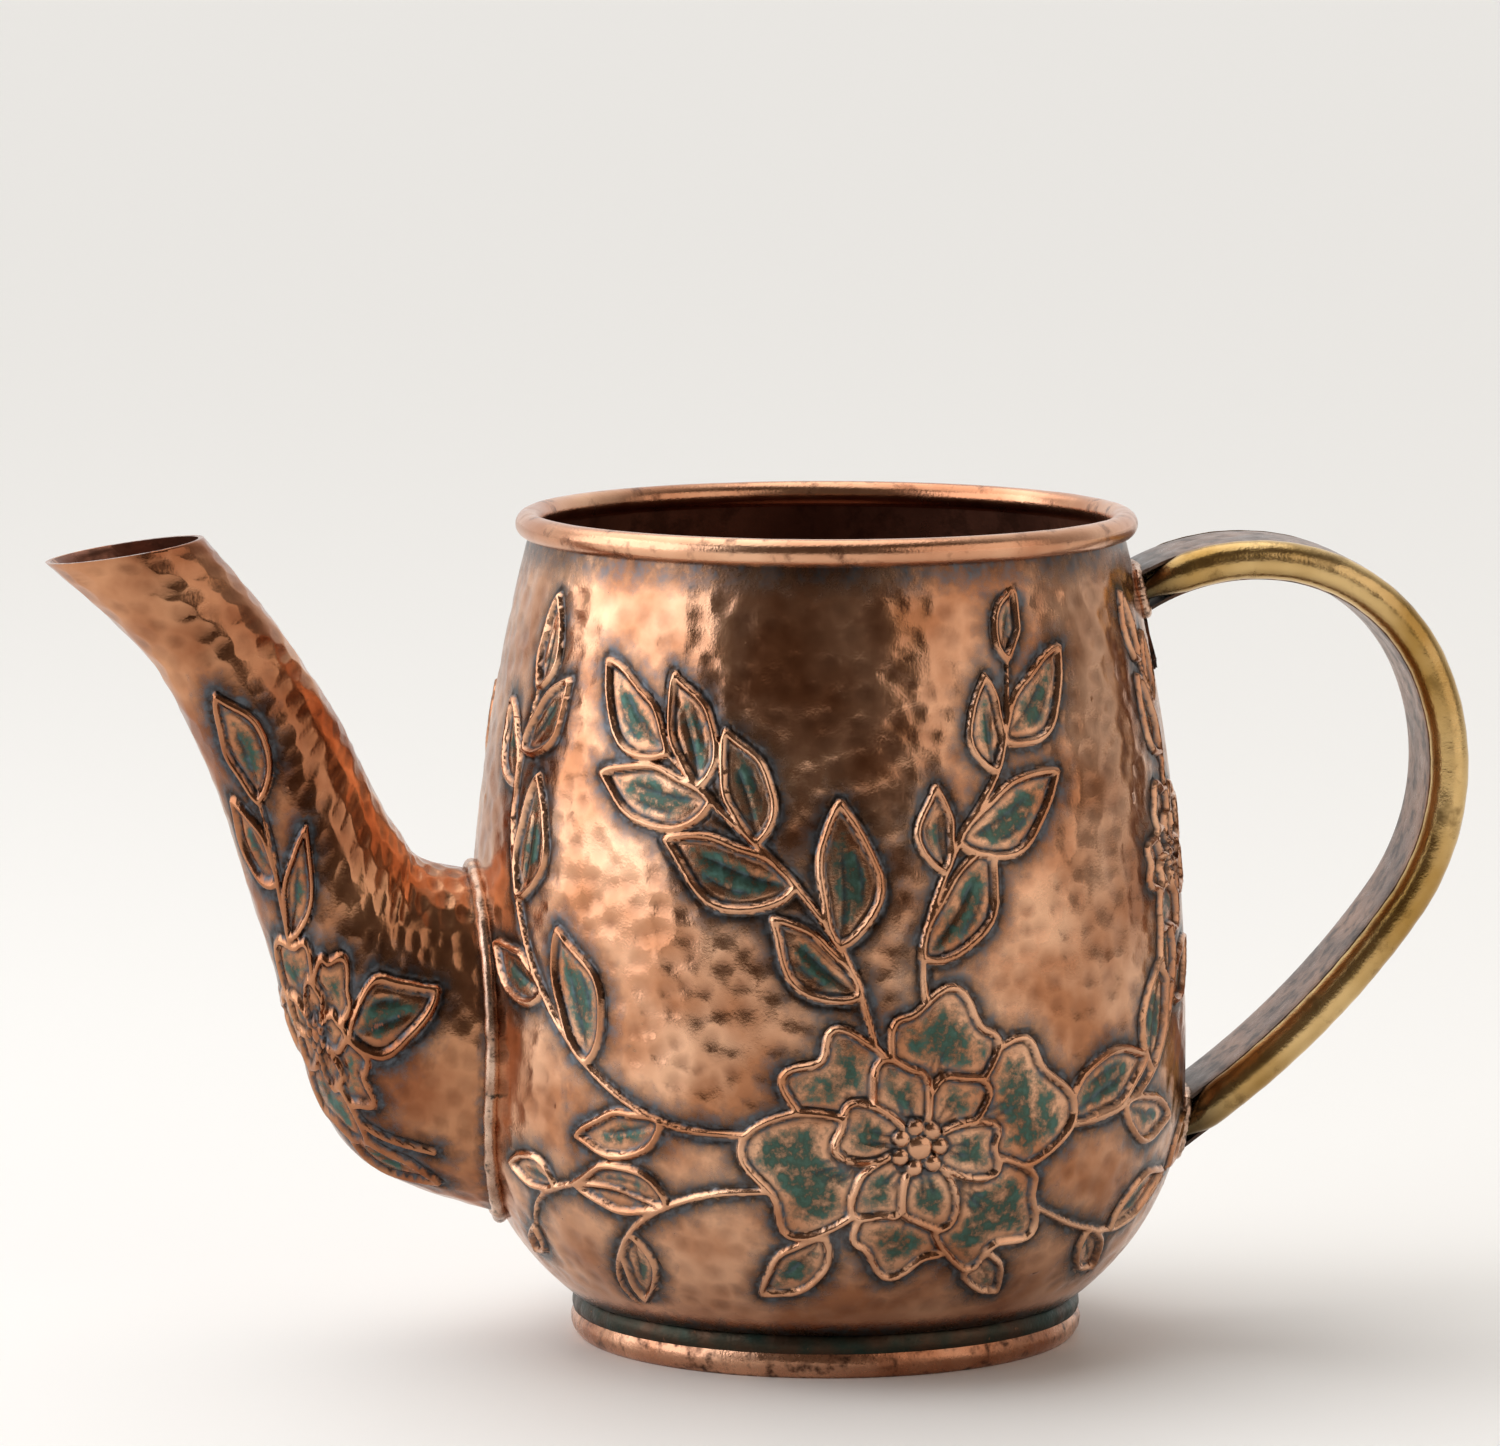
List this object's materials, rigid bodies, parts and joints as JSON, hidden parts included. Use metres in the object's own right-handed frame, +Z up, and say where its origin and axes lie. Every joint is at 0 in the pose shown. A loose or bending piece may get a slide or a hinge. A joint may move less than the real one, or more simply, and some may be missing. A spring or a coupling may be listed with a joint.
{
  "type": "watering can",
  "caption": "Hammered copper watering can with a curved open spout, a brass-edged strap handle and raised flower relief; holds and pours water onto plants.",
  "frame": {"origin": "middle of the footprint's bounding box, on the surface that the can stands on; the barrel's axis is 12.83 mm to +X of it", "axes": "+Z up, -X along the spout, +X towards the handle, the can is symmetric about the XZ plane"},
  "size_m": [0.2762, 0.1402, 0.1613],
  "materials": {
    "copper_barrel": "hammered copper with raised flowers and leaves, dark patina in the grooves and verdigris in the petals, polished ridges",
    "copper_spout": "hammered copper with raised leaves at the root, dark patina and verdigris",
    "copper_rim": "polished copper, with a darker line where the roll meets the wall",
    "copper_hidden": "dull oxidised copper",
    "copper_collar": "copper darkened to green-black patina",
    "copper_foot": "polished copper, worn where it rubs",
    "brass_edge": "polished brass, half-round",
    "copper_strap": "grey-pink copper, brushed and lightly oxidised",
    "copper_tongue": "copper darkened by heat and flux",
    "solder": "soft solder, dull grey with a copper wash",
    "steel_wire": "plain drawn wire"
  },
  "bodies": {
    "root": {"body_shell": "copper_barrel", "rim_wire": "steel_wire", "base_disc": "copper_hidden", "base_seam": "solder", "foot_collar": "copper_collar", "foot_bead": "copper_foot", "foot_seam": "solder", "spout_shell": "copper_spout", "spout_seam": "solder", "handle_outer_strip": "copper_strap", "handle_inner_strip": "copper_strap", "handle_edge_front": "brass_edge", "handle_edge_rear": "brass_edge", "handle_tab_upper": "copper_tongue", "handle_tab_lower": "copper_tongue", "handle_solder_upper": "solder", "handle_solder_lower": "solder"}
  },
  "joints": []
}
